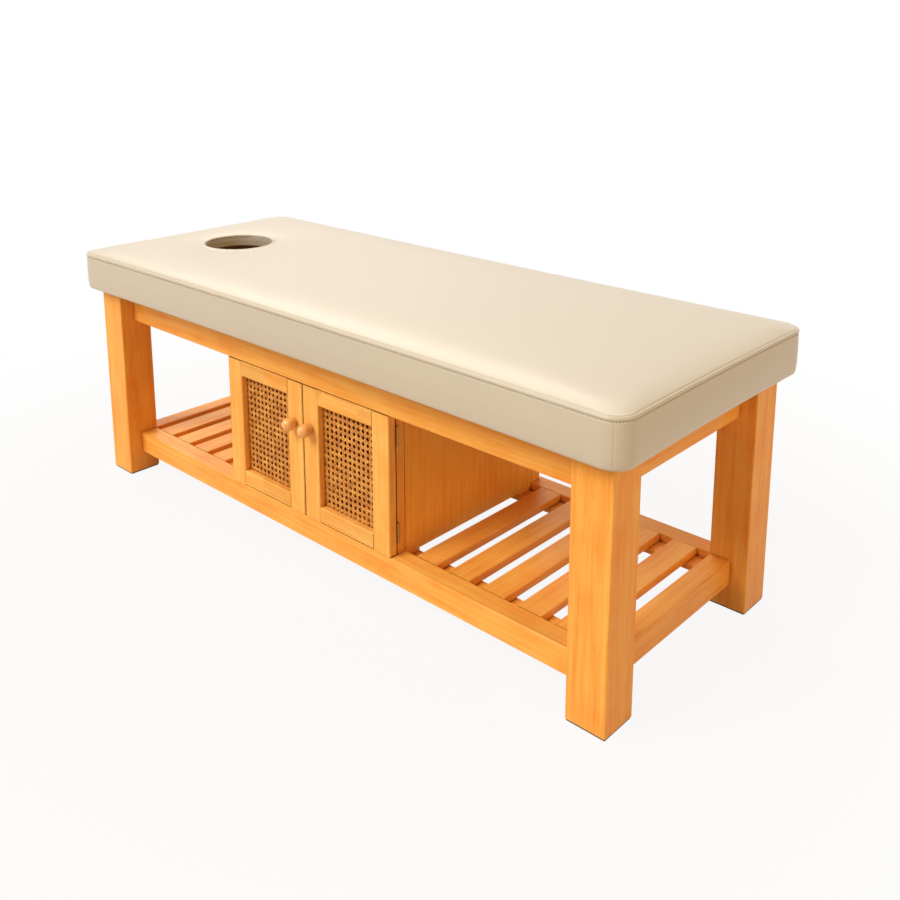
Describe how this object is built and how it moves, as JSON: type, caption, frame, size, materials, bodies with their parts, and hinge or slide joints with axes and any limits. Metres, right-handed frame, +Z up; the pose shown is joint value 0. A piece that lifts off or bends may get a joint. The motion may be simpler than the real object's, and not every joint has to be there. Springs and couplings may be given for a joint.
{
  "type": "spa bed with cabinet base",
  "caption": "Spa treatment bed: an upholstered top with a face hole, on a timber frame with a cane-doored cabinet between slatted shelf bays.",
  "frame": {"origin": "on the floor, under the middle of the bed's bounding box", "axes": "+X along the bed's length from the head end, which has the face hole, to the foot end; +Y from the cabinet's doors to its back; +Z up"},
  "size_m": [1.9, 0.75, 0.694],
  "materials": {
    "timber": "clear satin lacquer over warm orange-brown stain, straight grain along each piece",
    "plywood": "satin lacquered veneer, grain upright on the cabinet's sides",
    "cane": "matte open woven cane",
    "leather": "soft cream synthetic leather, low sheen, fine grain",
    "steel": "zinc-plated",
    "brass": "aged satin brass",
    "plastic": "dark brown, matte"
  },
  "bodies": {
    "frame": {"leg_front_head": "timber", "leg_front_foot": "timber", "leg_back_head": "timber", "leg_back_foot": "timber", "foot_pads": "plastic", "apron_front": "timber", "apron_back": "timber", "apron_head": "timber", "apron_foot": "timber", "bearers": "timber", "rail_front": "timber", "rail_back": "timber", "rail_head": "timber", "rail_foot": "timber", "ledger_front": "timber", "ledger_back": "timber", "slat_head_1": "timber", "slat_head_2": "timber", "slat_head_3": "timber", "slat_head_4": "timber", "slat_head_5": "timber", "slat_foot_1": "timber", "slat_foot_2": "timber", "slat_foot_3": "timber", "slat_foot_4": "timber", "slat_foot_5": "timber", "cabinet_floor": "plywood", "side_panel_left": "plywood", "side_panel_right": "plywood", "front_post_left": "timber", "front_post_right": "timber", "rear_post_left": "timber", "rear_post_right": "timber", "back_panel": "plywood", "door_stop_rail": "timber", "magnetic_catches": "plastic", "hinge_post_leaves": "brass", "hinge_pins": "brass", "mattress_board": "plywood", "mattress": "leather"},
    "left_door": {"left_hinge_stile": "timber", "left_lock_stile": "timber", "left_top_rail": "timber", "left_bottom_rail": "timber", "left_cane_panel": "cane", "left_cane_beads": "timber", "left_knob": "timber", "left_knob_screw": "steel", "left_strike_plate": "steel", "left_hinge_leaves": "brass"},
    "right_door": {"right_hinge_stile": "timber", "right_lock_stile": "timber", "right_top_rail": "timber", "right_bottom_rail": "timber", "right_cane_panel": "cane", "right_cane_beads": "timber", "right_knob": "timber", "right_knob_screw": "steel", "right_strike_plate": "steel", "right_hinge_leaves": "brass"}
  },
  "joints": [
    {"name": "left_door_hinge", "type": "hinge", "parent": "frame", "child": "left_door", "pos_m": [-0.3453, -0.2674, 0.302], "axis": [0, 0, -1], "range_deg": [0, 170]},
    {"name": "right_door_hinge", "type": "hinge", "parent": "frame", "child": "right_door", "pos_m": [0.2773, -0.2674, 0.302], "axis": [0, 0, 1], "range_deg": [0, 170]}
  ]
}
